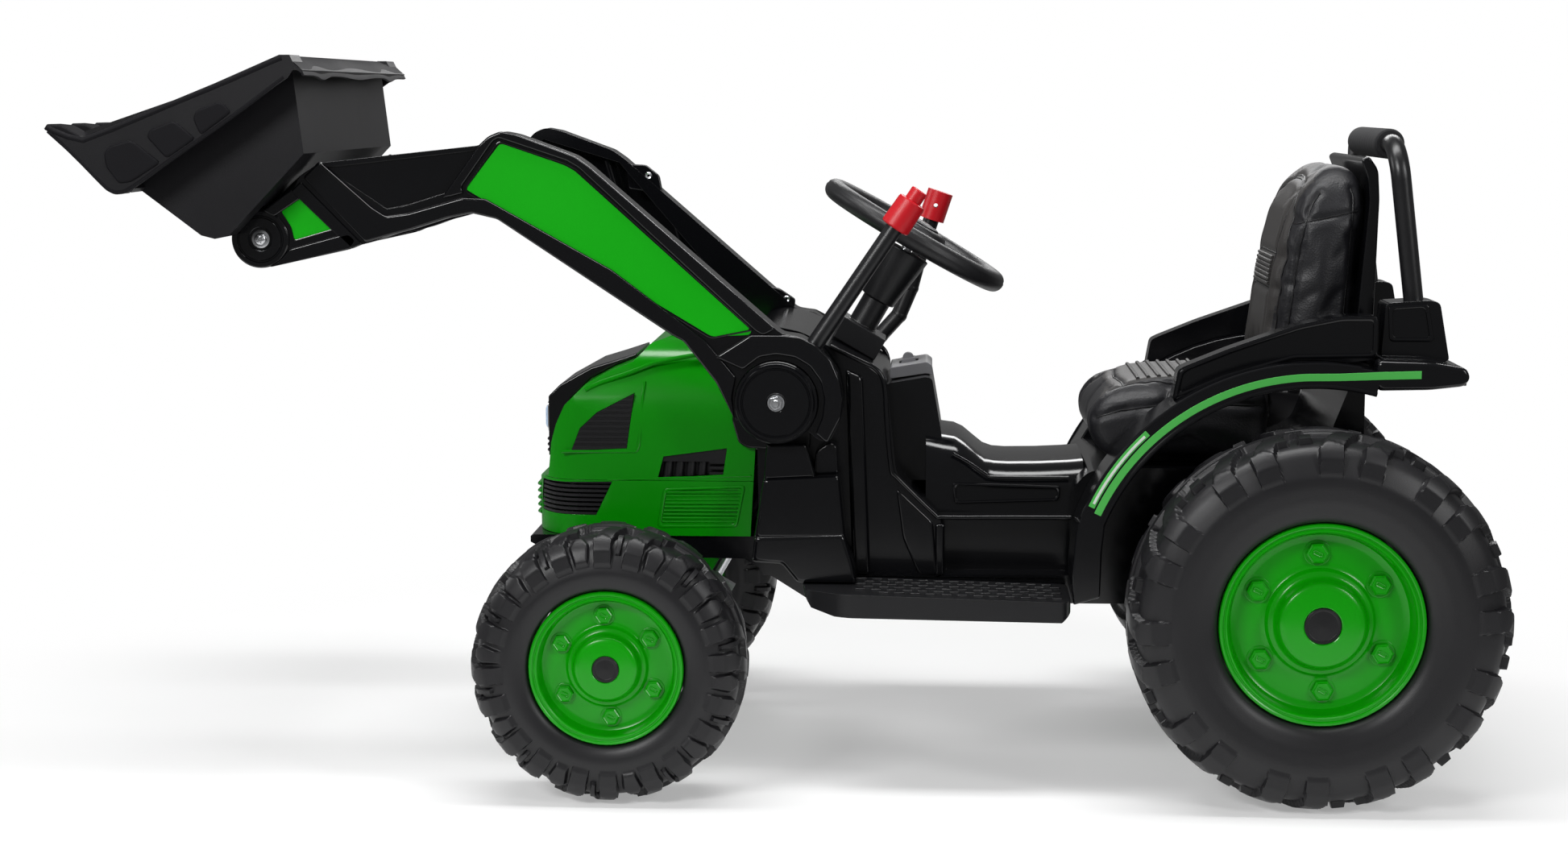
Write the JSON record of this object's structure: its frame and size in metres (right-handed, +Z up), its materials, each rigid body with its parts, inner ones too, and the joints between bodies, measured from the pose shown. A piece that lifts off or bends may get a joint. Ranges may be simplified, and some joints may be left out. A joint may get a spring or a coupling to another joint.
{
  "type": "ride-on toy front loader",
  "caption": "Ride-on toy tractor with a front loader: lift arms, tilting bucket, steered front wheels, padded seat and roll bar.",
  "frame": {"origin": "on the ground, at the centre of the overall bounding box", "axes": "+Z up, -X towards the bucket at the front, -Y towards the driver's left"},
  "size_m": [1.458, 0.5988, 0.745],
  "materials": {
    "black_gloss_plastic": "gloss moulded",
    "black_matte_plastic": "fine texture",
    "bucket_plastic": "satin blow moulded",
    "green_body": "gloss moulded",
    "green_rim": "gloss moulded",
    "green_decal": "printed film",
    "tyre_plastic": "satin blow moulded",
    "lens": "clear",
    "grey_panel": "satin",
    "black_leather": "stitched",
    "black_tube": "powder coated",
    "foam": "foam",
    "zinc_steel": "zinc plated",
    "red_grip": "soft",
    "wheel_rubber": "fine leather grain"
  },
  "bodies": {
    "chassis": {"chassis_tub": "black_gloss_plastic", "body_shell": "black_gloss_plastic", "hood_upper": "green_body", "hood_lower": "green_body", "hood_visor": "black_gloss_plastic", "side_vents": "black_matte_plastic", "engine_inserts": "black_matte_plastic", "lamp_grilles": "black_matte_plastic", "headlights": "lens", "pivot_tower_left": "black_gloss_plastic", "pivot_tower_right": "black_gloss_plastic", "pivot_hubs": "black_gloss_plastic", "control_panel": "grey_panel", "footboard_left": "black_matte_plastic", "footboard_right": "black_matte_plastic", "seat_cushion": "black_leather", "backrest_shell": "black_gloss_plastic", "backrest_cushion": "black_leather", "fender_left": "black_gloss_plastic", "fender_right": "black_gloss_plastic", "armrest_left": "black_gloss_plastic", "armrest_right": "black_gloss_plastic", "fender_stripes": "green_decal", "rear_bumper": "black_gloss_plastic", "roll_bar": "black_tube", "roll_bar_grip": "foam", "steering_column": "black_matte_plastic", "battery": "black_matte_plastic", "control_box": "black_matte_plastic", "drive_gearboxes": "black_matte_plastic", "rear_axle": "zinc_steel", "front_axle_beam": "black_matte_plastic", "steering_gearbox": "black_matte_plastic", "loader_shaft": "zinc_steel"},
    "lift_arms": {"lift_arm_left": "black_gloss_plastic", "lift_arm_right": "black_gloss_plastic", "arm_inlays": "green_decal", "lift_lever": "black_tube", "lift_lever_grip": "red_grip", "bucket_bolts": "zinc_steel"},
    "release_button": {"release_button": "red_grip"},
    "tilt_lever": {"tilt_lever": "black_matte_plastic", "tilt_lever_knob": "red_grip"},
    "bucket": {"bucket": "bucket_plastic"},
    "steering_wheel": {"steering_wheel": "wheel_rubber", "steering_shaft": "zinc_steel"},
    "horn_button": {"horn_button": "black_matte_plastic"},
    "knuckle_left": {"knuckle_left": "black_matte_plastic"},
    "knuckle_right": {"knuckle_right": "black_matte_plastic"},
    "tie_rod": {"tie_rod": "zinc_steel"},
    "accelerator_pedal": {"accelerator_pedal": "black_matte_plastic"},
    "direction_switch": {"direction_switch": "grey_panel"},
    "front_left_wheel": {"front_left_tyre": "tyre_plastic", "front_left_rim": "green_rim"},
    "front_right_wheel": {"front_right_tyre": "tyre_plastic", "front_right_rim": "green_rim"},
    "rear_left_wheel": {"rear_left_tyre": "tyre_plastic", "rear_left_rim": "green_rim"},
    "rear_right_wheel": {"rear_right_tyre": "tyre_plastic", "rear_right_rim": "green_rim"}
  },
  "joints": [
    {"name": "lift_arms", "type": "hinge", "parent": "chassis", "child": "lift_arms", "pos_m": [-0.003, 0, 0.394], "axis": [0, 1, 0], "range_deg": [-47, 6]},
    {"name": "bucket_tilt", "type": "hinge", "parent": "lift_arms", "child": "bucket", "pos_m": [-0.533, 0, 0.559], "axis": [0, -1, 0], "range_deg": [0, 88]},
    {"name": "tilt_lever_swing", "type": "hinge", "parent": "lift_arms", "child": "tilt_lever", "pos_m": [-0.003, 0, 0.394], "axis": [0, -1, 0], "range_deg": [0, 44]},
    {"name": "release_button_press", "type": "slide", "parent": "lift_arms", "child": "release_button", "axis": [-0.5608, 0, -0.8279], "range_m": [0, 0.005], "stiffness_N_per_m": 400},
    {"name": "steering", "type": "hinge", "parent": "chassis", "child": "steering_wheel", "pos_m": [0.136, 0, 0.556], "axis": [0.5, 0, 0.866], "range_deg": [-60, 60]},
    {"name": "horn_press", "type": "slide", "parent": "steering_wheel", "child": "horn_button", "axis": [-0.5, 0, -0.866], "range_m": [0, 0.003], "stiffness_N_per_m": 500},
    {"name": "knuckle_left_turn", "type": "hinge", "parent": "chassis", "child": "knuckle_left", "pos_m": [-0.166, -0.165, 0.14], "axis": [0, 0, 1], "range_deg": [-21, 21]},
    {"name": "knuckle_right_turn", "type": "hinge", "parent": "chassis", "child": "knuckle_right", "pos_m": [-0.166, 0.165, 0.14], "axis": [0, 0, 1], "range_deg": [-21, 21]},
    {"name": "tie_rod_slide", "type": "slide", "parent": "chassis", "child": "tie_rod", "axis": [0, 1, 0], "range_m": [-0.017, 0.017]},
    {"name": "front_left_spin", "type": "hinge", "parent": "knuckle_left", "child": "front_left_wheel", "pos_m": [-0.166, -0.25, 0.14], "axis": [0, 1, 0], "continuous": true},
    {"name": "front_right_spin", "type": "hinge", "parent": "knuckle_right", "child": "front_right_wheel", "pos_m": [-0.166, 0.25, 0.14], "axis": [0, 1, 0], "continuous": true},
    {"name": "rear_left_spin", "type": "hinge", "parent": "chassis", "child": "rear_left_wheel", "pos_m": [0.539, -0.241, 0.19], "axis": [0, 1, 0], "continuous": true},
    {"name": "rear_right_spin", "type": "hinge", "parent": "chassis", "child": "rear_right_wheel", "pos_m": [0.539, 0.241, 0.19], "axis": [0, 1, 0], "continuous": true},
    {"name": "accelerator_press", "type": "hinge", "parent": "chassis", "child": "accelerator_pedal", "pos_m": [0.142, 0, 0.2095], "axis": [0, -1, 0], "range_deg": [0, 12], "stiffness_Nm_per_rad": 1.5},
    {"name": "direction_switch_tilt", "type": "hinge", "parent": "chassis", "child": "direction_switch", "pos_m": [0.131, 0, 0.416], "axis": [0, 1, 0], "range_deg": [-8, 8], "stiffness_Nm_per_rad": 0.05}
  ],
  "couplings": [
    {"joint": "tilt_lever_swing", "follows": "bucket_tilt", "ratio": 0.5},
    {"joint": "knuckle_left_turn", "follows": "steering", "ratio": 0.3333},
    {"joint": "knuckle_right_turn", "follows": "steering", "ratio": 0.3333},
    {"joint": "tie_rod_slide", "follows": "steering", "m_per_rad": 0.015}
  ]
}
